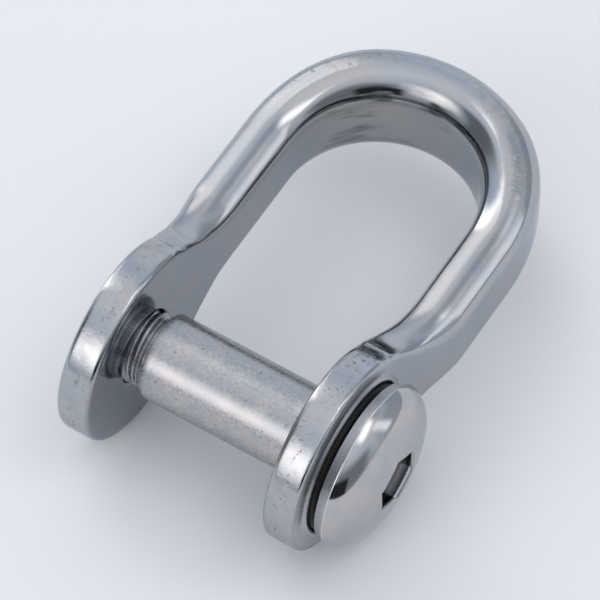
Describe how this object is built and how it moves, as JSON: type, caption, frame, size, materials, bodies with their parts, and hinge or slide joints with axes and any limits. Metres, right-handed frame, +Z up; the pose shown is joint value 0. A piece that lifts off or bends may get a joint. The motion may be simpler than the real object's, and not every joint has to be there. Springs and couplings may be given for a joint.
{
  "type": "dee shackle",
  "caption": "Forged dee shackle with flat round eyes, a hexagon socket screw pin and a rubber ring under the pin's domed head.",
  "frame": {"origin": "on the pin's axis, midway between the inner faces of the two eyes", "axes": "+X along the pin towards its head, +Y from the pin towards the crown, +Z up through the flat-lying shackle"},
  "size_m": [0.0299, 0.0469, 0.0185],
  "materials": {
    "polished_stainless": "polished",
    "pin_stainless": "satin shank, polished head",
    "black_rubber": "smooth, slightly glossy"
  },
  "bodies": {
    "bow": {"bow": "polished_stainless"},
    "seal": {"sealing_ring": "black_rubber"},
    "pin": {"screw_pin": "pin_stainless"}
  },
  "joints": [
    {"name": "pin_travel", "type": "slide", "parent": "bow", "child": "seal", "axis": [1, 0, 0], "range_m": [0, 0.024]},
    {"name": "pin_turn", "type": "hinge", "parent": "seal", "child": "pin", "pos_m": [0, 0, 0], "axis": [1, 0, 0], "range_deg": [0, 8640]}
  ],
  "couplings": [
    {"joint": "pin_travel", "follows": "pin_turn", "m_per_rad": 0.00015915}
  ]
}
